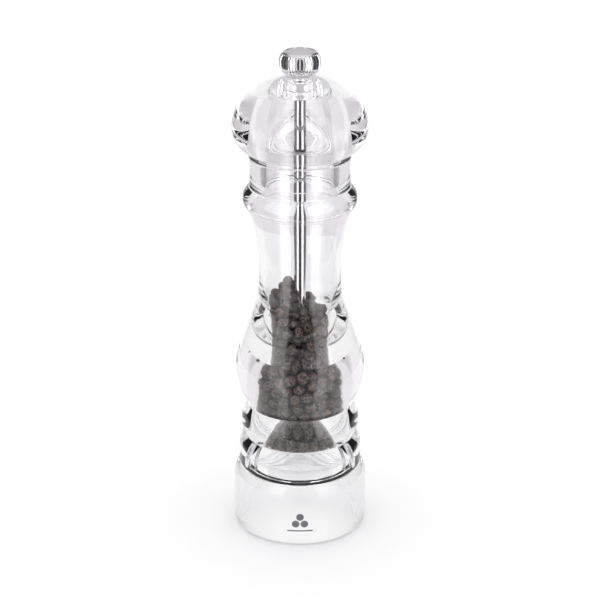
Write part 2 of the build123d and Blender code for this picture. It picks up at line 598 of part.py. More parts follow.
parts = {
    "body_shell": make_body_shell(),
    "front_mark": make_front_mark(),
    "ring_housing": make_ring_housing(),
    "grind_ring": make_grind_ring(),
    "bridge_bar": make_bridge_bar(),
    "bridge_bush": make_bridge_bush(),
    "bridge_screws": make_screw_pair(BRIDGE_SCREW_OFFSET, z_bridge, BRIDGE_THICKNESS + FLANGE_THICKNESS),
    "peppercorn_fill": make_peppercorn_fill(),
    "thrust_washer": make_thrust_washer(),
    "spring": make_spring(),
    "shaft": make_shaft(),
    "male_burr": make_male_burr(),
    "burr_pin": burr_pin_rod(),
    "head_shell": make_head_shell(),
    "drive_bush": make_drive_bush(),
    "drive_plate": make_drive_plate(),
    "drive_screws": make_screw_pair(DRIVE_SCREW_OFFSET, z_plate, DRIVE_PLATE),
    "knob_washer": make_knob_washer(),
    "knob_shell": make_knob_shell(),
    "knob_insert": make_knob_insert(),
    "knob_disc": make_knob_disc(),
}

os.makedirs("parts", exist_ok=True)
for node, shape in parts.items():
    export_step(shape, f"parts/{node}.step")
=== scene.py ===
"""Clear pepper mill: acrylic body and head, steel shaft and burrs, fluted knob, peppercorns inside."""
import math

import bmesh
import bpy
import numpy as np
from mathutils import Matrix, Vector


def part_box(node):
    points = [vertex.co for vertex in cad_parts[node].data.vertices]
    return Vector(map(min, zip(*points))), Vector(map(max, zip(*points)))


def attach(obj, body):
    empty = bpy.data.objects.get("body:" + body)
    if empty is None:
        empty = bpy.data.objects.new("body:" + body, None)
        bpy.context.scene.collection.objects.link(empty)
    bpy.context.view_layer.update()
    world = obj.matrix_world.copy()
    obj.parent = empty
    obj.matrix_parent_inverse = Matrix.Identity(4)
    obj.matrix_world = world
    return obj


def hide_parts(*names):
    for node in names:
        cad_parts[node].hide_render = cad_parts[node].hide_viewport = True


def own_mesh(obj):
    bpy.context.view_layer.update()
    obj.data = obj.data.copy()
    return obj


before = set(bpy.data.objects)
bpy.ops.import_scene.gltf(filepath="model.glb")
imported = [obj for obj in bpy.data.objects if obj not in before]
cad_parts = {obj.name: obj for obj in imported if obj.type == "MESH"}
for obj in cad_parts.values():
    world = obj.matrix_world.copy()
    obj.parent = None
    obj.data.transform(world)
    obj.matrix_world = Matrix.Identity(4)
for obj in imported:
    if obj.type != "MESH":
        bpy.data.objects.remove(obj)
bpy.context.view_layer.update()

MM = 0.001
TURN = 2 * math.pi
SIDES = 144                   # steps round a turned piece

# ------------------------------------------------------------------ sizes, in millimetres
# Outline of the body, from the foot up.
BASE_RADIUS = 30.0
BASE_HEIGHT = 23.0
FOOT_ROUND = 2.5
SHOULDER_HEIGHT = 5.6
STEP_RADIUS = 27.5
STEP_HEIGHT = 7.7
STEP_FALL = 7.3
STEP_FALL_BOW = 1.0
LOWER_GROOVE_RADIUS = 24.7
BEAD_HEIGHT = 15.0
BEAD_BOW = 2.3
UPPER_GROOVE_RADIUS = 23.4
SWELL_RISE = 18.9
SWELL_RADIUS = 28.7
SWELL_ARC = 20.0
TAPER = math.radians(20.3)
THROAT_ARC = 44.0
WAIST_RADIUS = 18.1
WAIST_HEIGHT = 4.0
FLARE_HEIGHT = 28.2
FLARE_RADIUS = 22.2
COLLAR_HEIGHT = 10.4
COLLAR_BOW = 2.8
NECK_RADIUS = 22.2
NECK_HOLLOW = 0.35
# Bores of the body.
MOUTH_BORE = 17.3
MOUTH_DEPTH = 28.5
WAIST_BORE = 15.3
THROAT_BORE = 14.7
THROAT_LENGTH = 38.0
CHAMBER_BORE = 18.4
CHAMBER_SHOULDER = 9.0
FUNNEL_HEIGHT = 16.0
FUNNEL_FOOT = 16.2
INLET_BORE = 13.4
INLET_LIP = 1.7
HOUSING_SEAT = 14.42
BASE_HOLLOW_HEIGHT = 26.0
BASE_HOLLOW_TOP = 20.0
BASE_HOLLOW_MOUTH = 24.5
# Head.
HEAD_SKIRT = 2.0
ONION_RISE = 11.2
ONION_RADIUS = 29.4
ONION_ARC = 18.0
ONION_ARC_RISE = 13.8
KNOB_SEAT_RADIUS = 6.7
SPIGOT_RADIUS = 17.0
HEAD_BORE = 14.6
HEAD_BORE_ABOVE_JOINT = 12.5
ROOF_FLAT_RADIUS = 10.8
BUSH_RADIUS = 4.92
BUSH_LENGTH = 5.02
SHAFT_HOLE = 2.75
# Knob.
KNOB_FOOT_RADIUS = 6.2
KNOB_RADIUS = 9.0
KNOB_WIDEST = 6.4
KNOB_TOP_RADIUS = 6.9
KNOB_FLUTES = 32
KNOB_FLUTE_DEPTH = 0.5
KNOB_GROOVE_SHARE = 0.8
KNOB_BORE = 3.6
KNOB_BORE_LENGTH = 8.5
DISC_RECESS_RADIUS = 5.9
DISC_RECESS_DEPTH = 0.8
FLUTE_STEPS = 12              # steps round the knob for each groove
FLUTES_ABOVE_FOOT = 1.7       # plain bands that the grooves leave, and how fast they fade
FLUTES_BELOW_TOP = 0.55
FLUTE_FADE = 0.5
# Shaft.
SHAFT_RADIUS = 2.7
# Small gaps between pieces that meet, and rounds on the sharp corners of turned pieces.
HOUSING_GAP = 0.02
JOINT_GAP = 0.05
ROOF_GAP = 0.03
BODY_ROUND = 0.5
HEAD_ROUND = 0.4
KNOB_ROUND = 0.3

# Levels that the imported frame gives.
Z_BODY_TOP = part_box("body_shell")[1][2] / MM
Z_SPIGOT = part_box("head_shell")[0][2] / MM
Z_HEAD_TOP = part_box("head_shell")[1][2] / MM
Z_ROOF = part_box("drive_plate")[1][2] / MM + ROOF_GAP
Z_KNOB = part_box("knob_shell")[0][2] / MM
Z_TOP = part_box("knob_shell")[1][2] / MM
Z_HOUSING_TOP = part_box("ring_housing")[1][2] / MM
Z_BURR_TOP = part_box("male_burr")[1][2] / MM


# ------------------------------------------------------------------ outlines
def line(start, end, steps=1):
    """Points from start to just before end, evenly spaced."""
    share = np.arange(steps)[:, None] / steps
    return np.array(start) + (np.array(end) - np.array(start)) * share


def upright_arc(upright, far, steps=24):
    """Arc in (radius, height) that runs straight up or down at upright: centre on upright's level."""
    run = far[1] - upright[1]
    drop = far[0] - upright[0]
    radius = (run**2 + drop**2) / (2 * drop)
    turn = math.asin(abs(run) / abs(radius)) * np.arange(steps + 1) / steps
    heights = upright[1] + math.copysign(abs(radius), run) * np.sin(turn)
    return np.column_stack([upright[0] + radius * (1 - np.cos(turn)), heights])


def arc_to(upright, far, steps=24):
    """The same arc from far to just before upright, so that outlines can be joined end to end."""
    return upright_arc(upright, far, steps)[:0:-1]


def arc_from(upright, far, steps=24):
    """The same arc from upright to just before far."""
    return upright_arc(upright, far, steps)[:-1]


def bowed(start, end, bow, steps=24):
    """Arc from start to just before end whose middle stands bow outside the chord, away from the axis."""
    start = np.array(start)
    end = np.array(end)
    chord = np.linalg.norm(end - start)
    along = (end - start) / chord
    out = np.array([along[1], -along[0]])
    radius = (chord**2 / 4 + bow**2) / (2 * bow)
    turn = np.linspace(-1, 1, steps + 1)[:-1, None] * math.asin(chord / 2 / abs(radius))
    middle = (start + end) / 2 + out * (bow - radius)
    return middle + along * abs(radius) * np.sin(turn) + out * radius * np.cos(turn)


def tangent_arc(start, end, heading, steps=24):
    """Arc from start, in the direction heading, to just before end."""
    start = np.array(start)
    chord = np.array(end) - start
    left = np.array([-heading[1], heading[0]])
    radius = chord @ chord / (2 * (chord @ left))
    centre = start + left * radius
    first = math.atan2(*(start - centre)[::-1])
    last = math.atan2(*(np.array(end) - centre)[::-1])
    turn = (last - first + math.pi) % TURN - math.pi
    angle = first + turn * np.arange(steps) / steps
    return centre + abs(radius) * np.column_stack([np.cos(angle), np.sin(angle)])


def rounded_corners(outline, radius, sharpest=25.0, steps=4):
    """Closed outline whose sharp corners are cut back by radius and bridged by a short round arc.

    The bridge is the quadratic curve (1-t)^2 a + 2t(1-t) corner + t^2 b through the cut-back points."""
    before = np.roll(outline, 1, axis=0) - outline
    after = np.roll(outline, -1, axis=0) - outline
    reach_before = np.linalg.norm(before, axis=1)
    reach_after = np.linalg.norm(after, axis=1)
    straight = -(before * after).sum(axis=1) / (reach_before * reach_after)
    turning = np.degrees(np.arccos(np.clip(straight, -1, 1)))
    sharp = turning >= sharpest
    cut = np.minimum(radius, np.minimum(reach_before, reach_after) / 3)[:, None]
    a = (outline + before / reach_before[:, None] * cut)[:, None]
    b = (outline + after / reach_after[:, None] * cut)[:, None]
    t = np.linspace(0, 1, steps + 1)[None, :, None]
    bridge = (1 - t)**2 * a + 2 * t * (1 - t) * outline[:, None] + t**2 * b
    bridge[~sharp] = outline[~sharp][:, None]
    return bridge[sharp[:, None] | (np.arange(steps + 1) == 0)]


# ------------------------------------------------------------------ meshes
def new_object(name, points, faces, sharp_degrees=32.0):
    """Object at the origin from points in millimetres, smooth but for edges sharper than an angle."""
    mesh = bpy.data.meshes.new(name)
    mesh.from_pydata((points * MM).tolist(), [], faces)
    mesh.validate()
    mesh.shade_smooth()
    mesh.set_sharp_from_angle(angle=math.radians(sharp_degrees))
    piece = bpy.data.objects.new(name, mesh)
    bpy.context.scene.collection.objects.link(piece)
    return piece


def ring_faces(rows, sides, closed):
    """Quads between neighbouring rings of points, ring i holding points i*sides to i*sides+sides-1."""
    row = np.arange(rows if closed else rows - 1)[:, None]
    side = np.arange(sides)[None, :]
    after = (row + 1) % rows
    beside = (side + 1) % sides
    corners = [row * sides + side, row * sides + beside, after * sides + beside, after * sides + side]
    return np.stack([np.broadcast_to(c, (len(row), sides)) for c in corners], axis=-1).reshape(-1, 4)


def mark_points(piece, name, values):
    """Stores one number for each point of a piece."""
    piece.data.attributes.new(name, "FLOAT", "POINT").data.foreach_set("value", values.astype(np.float32))


def turned(name, outline, sides=SIDES, swell=None):
    """Closed surface of revolution: point (i, j) lies at radius r_i, angle j/sides of a turn, height z_i.

    swell, if given, is a function of (angle, radius, height) that returns a changed radius."""
    angle = np.arange(sides) * TURN / sides
    radius = np.repeat(outline[:, :1], sides, axis=1)
    height = np.repeat(outline[:, 1:], sides, axis=1)
    if swell:
        radius = swell(angle[None, :], radius, height)
    points = np.stack([radius * np.cos(angle), radius * np.sin(angle), height], axis=-1).reshape(-1, 3)
    faces = ring_faces(len(outline), sides, True)
    area = outline[:, 0] * np.roll(outline[:, 1], -1) - np.roll(outline[:, 0], -1) * outline[:, 1]
    if area.sum() < 0:
        faces = faces[:, ::-1]
    return new_object(name, points, faces.tolist())


# ------------------------------------------------------------------ materials
def new_material(name):
    """Material with an empty node tree, its Principled shader and the object coordinates."""
    material = bpy.data.materials.new(name)
    material.use_nodes = True
    tree = material.node_tree
    shader = tree.nodes["Principled BSDF"]
    place = tree.nodes.new("ShaderNodeTexCoord").outputs["Object"]
    return material, tree, shader, place


def noise(tree, place, scale, detail=3.0, rough=0.5, stretch=None):
    """Noise value at place, scale cells per metre, optionally stretched along each axis."""
    if stretch:
        mapping = tree.nodes.new("ShaderNodeMapping")
        mapping.inputs["Scale"].default_value = stretch
        tree.links.new(place, mapping.inputs["Vector"])
        place = mapping.outputs["Vector"]
    node = tree.nodes.new("ShaderNodeTexNoise")
    node.inputs["Scale"].default_value = scale
    node.inputs["Detail"].default_value = detail
    node.inputs["Roughness"].default_value = rough
    tree.links.new(place, node.inputs["Vector"])
    return node.outputs["Fac"]


def spread(tree, value, low, high, low_in=0.3, high_in=0.7):
    """Value moved from the range low_in..high_in to low..high."""
    node = tree.nodes.new("ShaderNodeMapRange")
    node.inputs["From Min"].default_value = low_in
    node.inputs["From Max"].default_value = high_in
    node.inputs["To Min"].default_value = low
    node.inputs["To Max"].default_value = high
    tree.links.new(value, node.inputs["Value"])
    return node.outputs["Result"]


def math_node(tree, operation, first, second=None):
    """One Math node; each input is a number or a socket."""
    node = tree.nodes.new("ShaderNodeMath")
    node.operation = operation
    node.inputs[2].default_value = 0.5        # how far apart two values may be for COMPARE
    for socket, value in zip(node.inputs, (first, second)):
        if value is None:
            continue
        if isinstance(value, (int, float)):
            socket.default_value = value
        else:
            tree.links.new(value, socket)
    return node.outputs[0]


def blend_colours(tree, share, first, second):
    """Colour between first and second by share; either may be a colour or a socket."""
    node = tree.nodes.new("ShaderNodeMix")
    node.data_type = "RGBA"
    tree.links.new(share, node.inputs["Factor"])
    for socket, colour in ((node.inputs[6], first), (node.inputs[7], second)):
        if isinstance(colour, tuple):
            socket.default_value = colour + (1.0,)
        else:
            tree.links.new(colour, socket)
    return node.outputs[2]


def add_bump(tree, shader, height, distance, strength=1.0):
    """Bump of the shader's normal by a height value, distance metres high."""
    node = tree.nodes.new("ShaderNodeBump")
    node.inputs["Distance"].default_value = distance
    node.inputs["Strength"].default_value = strength
    tree.links.new(height, node.inputs["Height"])
    tree.links.new(node.outputs["Normal"], shader.inputs["Normal"])


def make_acrylic():
    """Clear polished acrylic with faint waves and a few soft smears; frosted where "ground" is 1."""
    material, tree, shader, place = new_material("clear_acrylic")
    shader.inputs["Transmission Weight"].default_value = 1.0
    shader.inputs["IOR"].default_value = 1.49
    colour = blend_colours(tree, noise(tree, place, 40.0), (0.992, 0.991, 0.996), (0.980, 0.978, 0.988))
    tree.links.new(colour, shader.inputs["Base Color"])
    smears = spread(tree, noise(tree, place, 55.0, 4.0, 0.6), 0.0, 0.012, 0.6, 0.85)
    ground = tree.nodes.new("ShaderNodeAttribute")
    ground.attribute_name = "ground"
    grit = spread(tree, noise(tree, place, 900.0), 0.35, 0.5)
    frost = math_node(tree, "MULTIPLY", ground.outputs["Fac"], grit)
    tree.links.new(math_node(tree, "MAXIMUM", smears, frost), shader.inputs["Roughness"])
    waves = noise(tree, place, 60.0, 1.0, 0.4, (1.0, 1.0, 2.5))
    add_bump(tree, shader, waves, 0.00003)
    return material


def make_metal(name, colour, worn, rough, grain_scale, grain_stretch, grain_depth):
    """Metal whose colour and roughness drift in clouds between fresh and worn, with tool marks from
    noise stretched by grain_stretch and grain_depth metres deep."""
    material, tree, shader, place = new_material(name)
    shader.inputs["Metallic"].default_value = 1.0
    clouds = noise(tree, place, 140.0, 4.0, 0.6)
    tone = blend_colours(tree, spread(tree, clouds, 0.0, 1.0), colour, worn)
    tree.links.new(tone, shader.inputs["Base Color"])
    tree.links.new(spread(tree, clouds, rough * 0.6, rough * 1.5), shader.inputs["Roughness"])
    grain = noise(tree, place, grain_scale, 2.0, 0.6, grain_stretch)
    add_bump(tree, shader, grain, grain_depth)
    return material


def make_plastic(name, colour, tint, rough):
    """Moulded plastic with a faint mottle and a fine moulded surface."""
    material, tree, shader, place = new_material(name)
    mottle = spread(tree, noise(tree, place, 300.0, 3.0), 0.0, 1.0)
    tree.links.new(blend_colours(tree, mottle, colour, tint), shader.inputs["Base Color"])
    tree.links.new(spread(tree, mottle, rough * 0.8, rough * 1.2, 0.0, 1.0), shader.inputs["Roughness"])
    add_bump(tree, shader, noise(tree, place, 2500.0, 2.0), 0.00002)
    return material


def make_peppercorn_skin():
    """Dry wrinkled skin: pale crooked ridges round sunken cells painted dark as shade, dusty in clouds where
    "open" is 1, and with painted shade, near black, in the crevices between grains where "open" is 0; "grain"
    makes each one a little paler or darker."""
    material, tree, shader, place = new_material("peppercorns")
    grain = tree.nodes.new("ShaderNodeAttribute")
    grain.attribute_name = "grain"
    crook = tree.nodes.new("ShaderNodeTexNoise")
    crook.inputs["Scale"].default_value = 900.0
    tree.links.new(place, crook.inputs["Vector"])
    shift = tree.nodes.new("ShaderNodeVectorMath")
    shift.operation = "MULTIPLY_ADD"
    shift.inputs[1].default_value = (0.0009, 0.0009, 0.0009)
    tree.links.new(crook.outputs["Color"], shift.inputs[0])
    tree.links.new(place, shift.inputs[2])
    cells = tree.nodes.new("ShaderNodeTexVoronoi")
    cells.feature = "DISTANCE_TO_EDGE"
    cells.inputs["Scale"].default_value = 800.0
    tree.links.new(shift.outputs["Vector"], cells.inputs["Vector"])
    ridge = spread(tree, cells.outputs["Distance"], 1.0, 0.0, 0.0, 0.2)
    skin = blend_colours(tree, grain.outputs["Fac"], (0.110, 0.070, 0.052), (0.350, 0.245, 0.180))
    dusty = spread(tree, noise(tree, place, 700.0, 4.0, 0.65), 0.0, 0.7)
    skin = blend_colours(tree, dusty, skin, (0.340, 0.265, 0.215))
    # painted shade: the sunken cells between the ridges are coloured near black, as if in shadow
    skin = blend_colours(tree, ridge, (0.026, 0.019, 0.015), skin)
    # painted shade: grains turn near black where they crowd their neighbours, read from the "open" attribute
    crevice_shade_input = tree.nodes.new("ShaderNodeAttribute")
    crevice_shade_input.attribute_name = "open"
    unshaded_share = spread(tree, crevice_shade_input.outputs["Fac"], 0.0, 1.0, 0.1, 0.9)
    skin = blend_colours(tree, unshaded_share, (0.010, 0.007, 0.005), skin)
    tree.links.new(skin, shader.inputs["Base Color"])
    tree.links.new(spread(tree, dusty, 0.5, 0.8, 0.0, 1.0), shader.inputs["Roughness"])
    add_bump(tree, shader, ridge, 0.0004, 1.0)
    return material


acrylic = make_acrylic()
# Where the grain's stretch is small along Z it runs up the piece; where it is large it runs round.
knob_chrome = make_metal(
    "knob_chrome", (0.80, 0.80, 0.81), (0.72, 0.72, 0.73), 0.04, 400.0, (1.0, 1.0, 6.0), 0.000001)
shaft_steel = make_metal(
    "shaft_steel", (0.72, 0.72, 0.73), (0.62, 0.62, 0.63), 0.07, 900.0, (1.0, 1.0, 0.05), 0.000002)
bright_steel = make_metal(
    "bright_steel", (0.90, 0.90, 0.91), (0.80, 0.80, 0.81), 0.06, 900.0, (1.0, 1.0, 8.0), 0.000001)
brushed_steel = make_metal(
    "brushed_steel", (0.86, 0.86, 0.87), (0.76, 0.76, 0.77), 0.4, 900.0, (1.0, 8.0, 1.0), 0.000002)
burr_steel = make_metal(
    "burr_steel", (0.42, 0.42, 0.43), (0.30, 0.29, 0.28), 0.35, 1500.0, (1.0, 1.0, 1.0), 0.00001)
spring_steel = make_metal(
    "spring_steel", (0.55, 0.55, 0.56), (0.42, 0.42, 0.43), 0.2, 2500.0, (1.0, 1.0, 1.0), 0.000002)
brass = make_metal(
    "brass", (0.78, 0.60, 0.30), (0.60, 0.43, 0.20), 0.25, 900.0, (1.0, 1.0, 8.0), 0.000001)
white_nylon = make_plastic("white_nylon", (0.85, 0.85, 0.83), (0.78, 0.78, 0.75), 0.45)
mark_ink = make_plastic("mark_ink", (0.10, 0.10, 0.12), (0.17, 0.17, 0.19), 0.5)
peppercorn_skin = make_peppercorn_skin()


def wear(node, material):
    """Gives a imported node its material."""
    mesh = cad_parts[node].data
    mesh.materials.clear()
    mesh.materials.append(material)


def finish_piece(piece, material, body, slot, *replaced):
    """Dresses a new piece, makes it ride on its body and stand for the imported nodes."""
    piece.data.materials.append(material)
    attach(piece, body)
    if replaced:
        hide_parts(*replaced)


# ------------------------------------------------------------------ clear body
def body_outside():
    """Outline of the body's outside, foot to rim, as arcs that meet at the named levels."""
    z_shoulder = BASE_HEIGHT + SHOULDER_HEIGHT
    z_step = z_shoulder + STEP_HEIGHT
    z_lower = z_step + STEP_FALL
    z_upper = z_lower + BEAD_HEIGHT
    z_swell = z_upper + SWELL_RISE
    high = (SWELL_RADIUS - SWELL_ARC * (1 - math.cos(TAPER)), z_swell + SWELL_ARC * math.sin(TAPER))
    foot_radius = WAIST_RADIUS + THROAT_ARC * (1 - math.cos(TAPER))
    low = (foot_radius, high[1] + (high[0] - foot_radius) / math.tan(TAPER))
    z_waist = low[1] + THROAT_ARC * math.sin(TAPER)
    z_waist_top = z_waist + WAIST_HEIGHT
    z_collar = z_waist_top + FLARE_HEIGHT
    z_neck = z_collar + COLLAR_HEIGHT
    outline = np.concatenate([
        line((BASE_HOLLOW_MOUTH, 0), (BASE_RADIUS - FOOT_ROUND, 0)),
        arc_to((BASE_RADIUS, FOOT_ROUND), (BASE_RADIUS - FOOT_ROUND, 0), 8),
        line((BASE_RADIUS, FOOT_ROUND), (BASE_RADIUS, BASE_HEIGHT), 6),
        arc_from((BASE_RADIUS, BASE_HEIGHT), (STEP_RADIUS, z_shoulder), 12),
        line((STEP_RADIUS, z_shoulder), (STEP_RADIUS, z_step), 3),
        bowed((STEP_RADIUS, z_step), (LOWER_GROOVE_RADIUS, z_lower), STEP_FALL_BOW, 12),
        bowed((LOWER_GROOVE_RADIUS, z_lower), (UPPER_GROOVE_RADIUS, z_upper), BEAD_BOW),
        arc_to((SWELL_RADIUS, z_swell), (UPPER_GROOVE_RADIUS, z_upper)),
        arc_from((SWELL_RADIUS, z_swell), high, 10),
        line(high, low, 8),
        arc_to((WAIST_RADIUS, z_waist), low, 14),
        line((WAIST_RADIUS, z_waist), (WAIST_RADIUS, z_waist_top), 2),
        arc_from((WAIST_RADIUS, z_waist_top), (FLARE_RADIUS, z_collar), 20),
        bowed((FLARE_RADIUS, z_collar), (NECK_RADIUS, z_neck), COLLAR_BOW),
        bowed((NECK_RADIUS, z_neck), (NECK_RADIUS, Z_BODY_TOP), -NECK_HOLLOW, 12),
        line((NECK_RADIUS, Z_BODY_TOP), (MOUTH_BORE, Z_BODY_TOP)),
    ])
    return outline, z_waist, z_waist_top


def body_inside(z_waist, z_waist_top):
    """Outline of the bores, from the rim down to the open hollow in the base."""
    z_inlet = Z_HOUSING_TOP + HOUSING_GAP
    z_floor = z_inlet + INLET_LIP
    z_mouth = Z_BODY_TOP - MOUTH_DEPTH
    z_throat = z_waist - THROAT_LENGTH
    z_chamber = z_throat - CHAMBER_SHOULDER
    return np.concatenate([
        line((MOUTH_BORE, Z_BODY_TOP), (MOUTH_BORE, z_mouth), 6),
        arc_to((WAIST_BORE, z_waist_top), (MOUTH_BORE, z_mouth), 14),
        line((WAIST_BORE, z_waist_top), (WAIST_BORE, z_waist), 2),
        line((WAIST_BORE, z_waist), (THROAT_BORE, z_throat), 8),
        arc_to((CHAMBER_BORE, z_chamber), (THROAT_BORE, z_throat), 16),
        line((CHAMBER_BORE, z_chamber), (CHAMBER_BORE, z_floor + FUNNEL_HEIGHT), 3),
        line((CHAMBER_BORE, z_floor + FUNNEL_HEIGHT), (FUNNEL_FOOT, z_floor), 6),
        line((FUNNEL_FOOT, z_floor), (INLET_BORE, z_floor), 3),
        line((INLET_BORE, z_floor), (INLET_BORE, z_inlet)),
        line((INLET_BORE, z_inlet), (HOUSING_SEAT, z_inlet)),
        line((HOUSING_SEAT, z_inlet), (HOUSING_SEAT, BASE_HOLLOW_HEIGHT), 3),
        line((HOUSING_SEAT, BASE_HOLLOW_HEIGHT), (BASE_HOLLOW_TOP, BASE_HOLLOW_HEIGHT), 2),
        line((BASE_HOLLOW_TOP, BASE_HOLLOW_HEIGHT), (BASE_HOLLOW_MOUTH, 0), 6),
    ])


outside, z_waist, z_waist_top = body_outside()
bores = body_inside(z_waist, z_waist_top)
body_outline = rounded_corners(np.concatenate([outside, bores]), BODY_ROUND)
body = turned("clear_body", body_outline)
# The hollow in the base is ground: all up to its roof, and out to the edge of its mouth.
under_roof = body_outline[:, 1] < BASE_HOLLOW_HEIGHT + 0.1
inside_mouth = body_outline[:, 0] < BASE_HOLLOW_MOUTH + 0.01
mark_points(body, "ground", np.repeat(under_roof & inside_mouth, SIDES))
finish_piece(body, acrylic, "body", "clear_acrylic", "body_shell")


# ------------------------------------------------------------------ clear head
def head_outline():
    """Outline of the hollow head: spigot, skirt, onion, flat crown, shaft hole, domed roof, bore."""
    z_joint = Z_BODY_TOP + JOINT_GAP
    z_skirt = z_joint + HEAD_SKIRT
    z_onion = z_skirt + ONION_RISE
    crown = (ONION_RADIUS - ONION_ARC + math.sqrt(ONION_ARC**2 - ONION_ARC_RISE**2), z_onion + ONION_ARC_RISE)
    lean = math.asin(ONION_ARC_RISE / ONION_ARC)
    heading = (-math.sin(lean), math.cos(lean))
    z_bore = z_joint + HEAD_BORE_ABOVE_JOINT
    return np.concatenate([
        line((HEAD_BORE, Z_SPIGOT), (SPIGOT_RADIUS, Z_SPIGOT)),
        line((SPIGOT_RADIUS, Z_SPIGOT), (SPIGOT_RADIUS, z_joint), 4),
        line((SPIGOT_RADIUS, z_joint), (NECK_RADIUS, z_joint), 2),
        line((NECK_RADIUS, z_joint), (NECK_RADIUS, z_skirt), 2),
        arc_to((ONION_RADIUS, z_onion), (NECK_RADIUS, z_skirt), 22),
        arc_from((ONION_RADIUS, z_onion), crown, 22),
        tangent_arc(crown, (KNOB_SEAT_RADIUS, Z_HEAD_TOP), heading, 22),
        line((KNOB_SEAT_RADIUS, Z_HEAD_TOP), (SHAFT_HOLE, Z_HEAD_TOP), 2),
        line((SHAFT_HOLE, Z_HEAD_TOP), (SHAFT_HOLE, Z_ROOF + BUSH_LENGTH), 2),
        line((SHAFT_HOLE, Z_ROOF + BUSH_LENGTH), (BUSH_RADIUS, Z_ROOF + BUSH_LENGTH)),
        line((BUSH_RADIUS, Z_ROOF + BUSH_LENGTH), (BUSH_RADIUS, Z_ROOF), 3),
        line((BUSH_RADIUS, Z_ROOF), (ROOF_FLAT_RADIUS, Z_ROOF), 2),
        arc_to((HEAD_BORE, z_bore), (ROOF_FLAT_RADIUS, Z_ROOF), 16),
        line((HEAD_BORE, z_bore), (HEAD_BORE, Z_SPIGOT), 5),
    ])


head = turned("clear_head", rounded_corners(head_outline(), HEAD_ROUND))
finish_piece(head, acrylic, "head", "clear_acrylic", "head_shell")


# ------------------------------------------------------------------ knob
def knob_outline():
    """Outline of the knob: foot, round side, rim, shallow recess, and the bore for its insert."""
    widest = (KNOB_RADIUS, Z_KNOB + KNOB_WIDEST)
    z_recess = Z_TOP - DISC_RECESS_DEPTH
    z_bore = Z_KNOB + KNOB_BORE_LENGTH
    on_axis = 0.02
    return np.concatenate([
        line((KNOB_BORE, Z_KNOB), (KNOB_FOOT_RADIUS, Z_KNOB), 2),
        arc_to(widest, (KNOB_FOOT_RADIUS, Z_KNOB), 26),
        arc_from(widest, (KNOB_TOP_RADIUS, Z_TOP), 22),
        line((KNOB_TOP_RADIUS, Z_TOP), (DISC_RECESS_RADIUS, Z_TOP), 2),
        line((DISC_RECESS_RADIUS, Z_TOP), (DISC_RECESS_RADIUS, z_recess)),
        line((DISC_RECESS_RADIUS, z_recess), (on_axis, z_recess), 3),
        line((on_axis, z_recess), (on_axis, z_bore)),
        line((on_axis, z_bore), (KNOB_BORE, z_bore), 2),
        line((KNOB_BORE, z_bore), (KNOB_BORE, Z_KNOB), 2),
    ])


def fluted(angle, radius, height):
    """Radius less a row of narrow grooves: depth times a smooth step down to 0 as |sin(n a / 2)|
    grows to the groove's share of the pitch, faded out near foot and rim."""
    across = np.clip(np.abs(np.sin(angle * KNOB_FLUTES / 2)) / KNOB_GROOVE_SHARE, 0, 1)
    groove = 1 - across**2 * (3 - 2 * across)
    above_foot = np.clip((height - Z_KNOB - FLUTES_ABOVE_FOOT) / FLUTE_FADE, 0, 1)
    below_rim = np.clip((Z_TOP - FLUTES_BELOW_TOP - height) / FLUTE_FADE, 0, 1)
    on_side = radius > KNOB_FOOT_RADIUS + 0.1
    return radius - KNOB_FLUTE_DEPTH * groove * above_foot * below_rim * on_side


knob_line = rounded_corners(knob_outline(), KNOB_ROUND)
knob = turned("fluted_knob", knob_line, KNOB_FLUTES * FLUTE_STEPS, fluted)
finish_piece(knob, knob_chrome, "knob", "knob_chrome", "knob_shell")


# ------------------------------------------------------------------ spring
SPRING_RADIUS = 3.5
SPRING_WIRE = 0.7
SPRING_TURNS = 3.5
SPRING_STEPS = 120
WIRE_SIDES = 12


def make_spring():
    """Round wire along a helix that climbs evenly from the thrust washer to the inner burr.  Each ring
    of the wire is centre + half the wire * (cos * outward + sin * the direction square to it)."""
    bottom, top = (corner[2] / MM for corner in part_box("spring"))
    climb = (top - bottom - SPRING_WIRE) / SPRING_TURNS
    turn = np.linspace(0, TURN * SPRING_TURNS, SPRING_STEPS + 1)
    outward = np.column_stack([np.cos(turn), np.sin(turn), np.zeros_like(turn)])
    along = np.column_stack([-np.sin(turn), np.cos(turn), np.full_like(turn, climb / TURN / SPRING_RADIUS)])
    along /= np.linalg.norm(along, axis=1)[:, None]
    square = np.cross(along, outward)
    centre = outward * SPRING_RADIUS
    centre[:, 2] = bottom + SPRING_WIRE / 2 + climb * turn / TURN
    round_wire = (np.arange(WIRE_SIDES) * TURN / WIRE_SIDES)[None, :, None]
    points = centre[:, None] + SPRING_WIRE / 2 * (np.cos(round_wire) * outward[:, None]
                                                  + np.sin(round_wire) * square[:, None])
    number = np.arange((SPRING_STEPS + 1) * WIRE_SIDES).reshape(SPRING_STEPS + 1, WIRE_SIDES)
    beside = np.roll(number, -1, axis=1)
    faces = np.stack([number[:-1], beside[:-1], beside[1:], number[1:]], axis=-1).reshape(-1, 4).tolist()
    ends = [number[0, ::-1].tolist(), number[-1].tolist()]
    return new_object("coil_spring", points.reshape(-1, 3), faces + ends)


spring = make_spring()
finish_piece(spring, spring_steel, "spindle_seat", "spring_steel", "spring")
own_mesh(spring)


